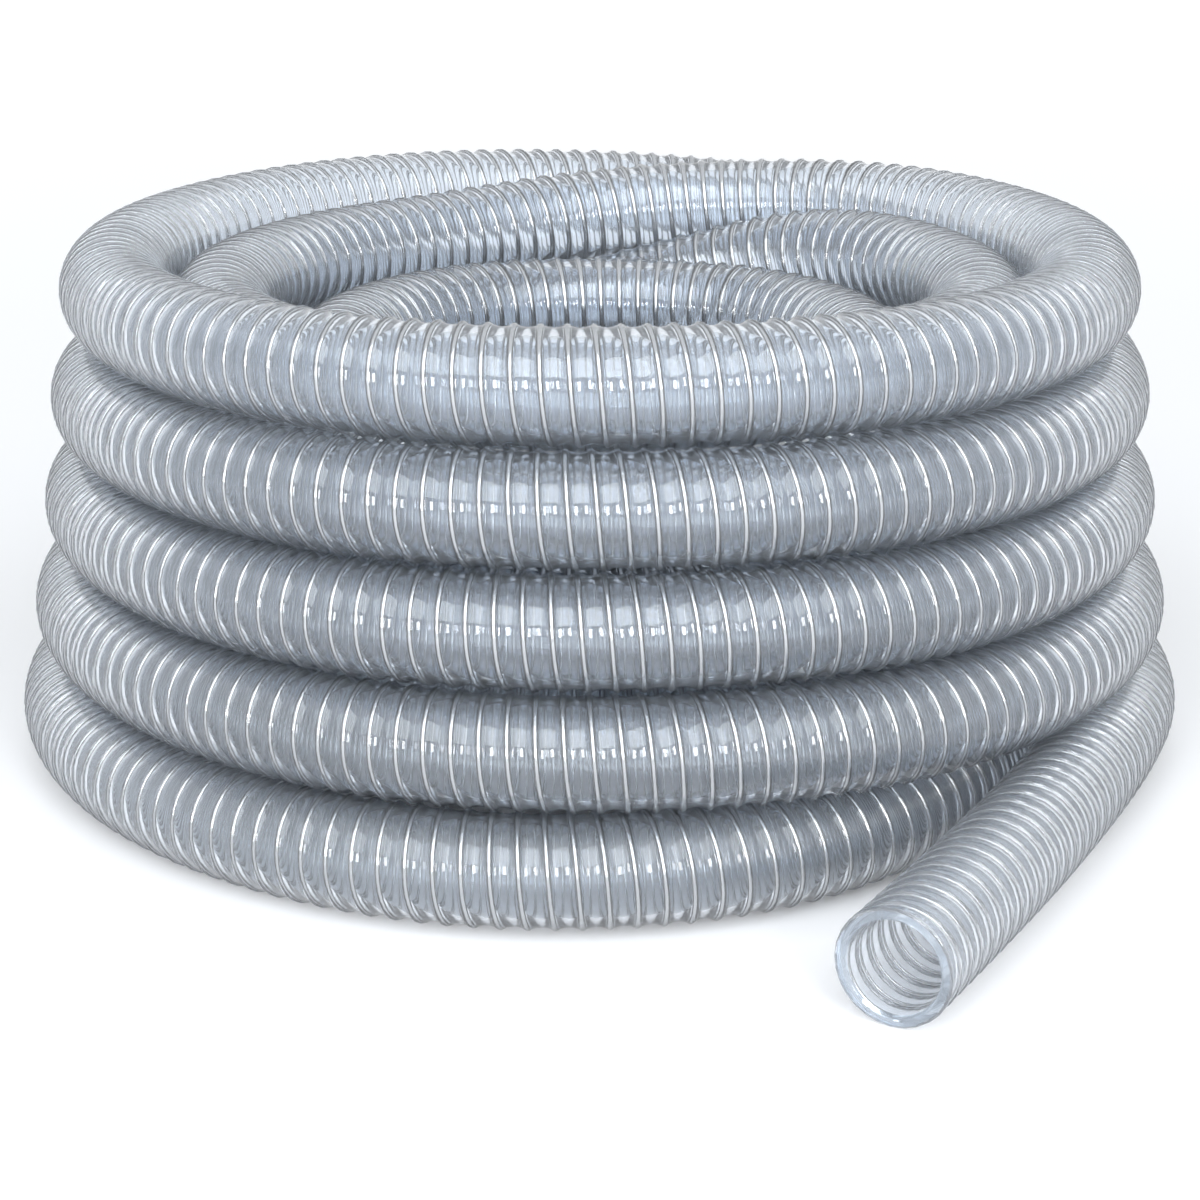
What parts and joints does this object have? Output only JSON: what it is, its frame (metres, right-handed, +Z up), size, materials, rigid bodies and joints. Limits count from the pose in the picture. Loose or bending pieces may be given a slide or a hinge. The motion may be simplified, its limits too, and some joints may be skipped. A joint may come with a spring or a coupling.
{
  "type": "pool vacuum hose",
  "caption": "Clear spiral-wire suction hose wound into a standing round coil, with an open plain-cut end on the floor that takes a hose cuff.",
  "frame": {"origin": "on the floor, under the middle of the wound hose's box", "axes": "+Z up along the coils' axis; the free end lies towards -Y and its mouth faces -Y and a little -X"},
  "size_m": [0.5438, 0.6173, 0.2397],
  "materials": {
    "clear_pvc": "clear flexible PVC with a faint blue-grey tint, glossy outside, smooth bore",
    "spring_wire": "bright drawn spring steel wire, embedded in the wall"
  },
  "bodies": {
    "root": {"outer_coil": "clear_pvc", "middle_coil": "clear_pvc", "inner_coil": "clear_pvc", "free_end": "clear_pvc", "inner_end": "clear_pvc", "wire_helix": "spring_wire"}
  },
  "joints": []
}
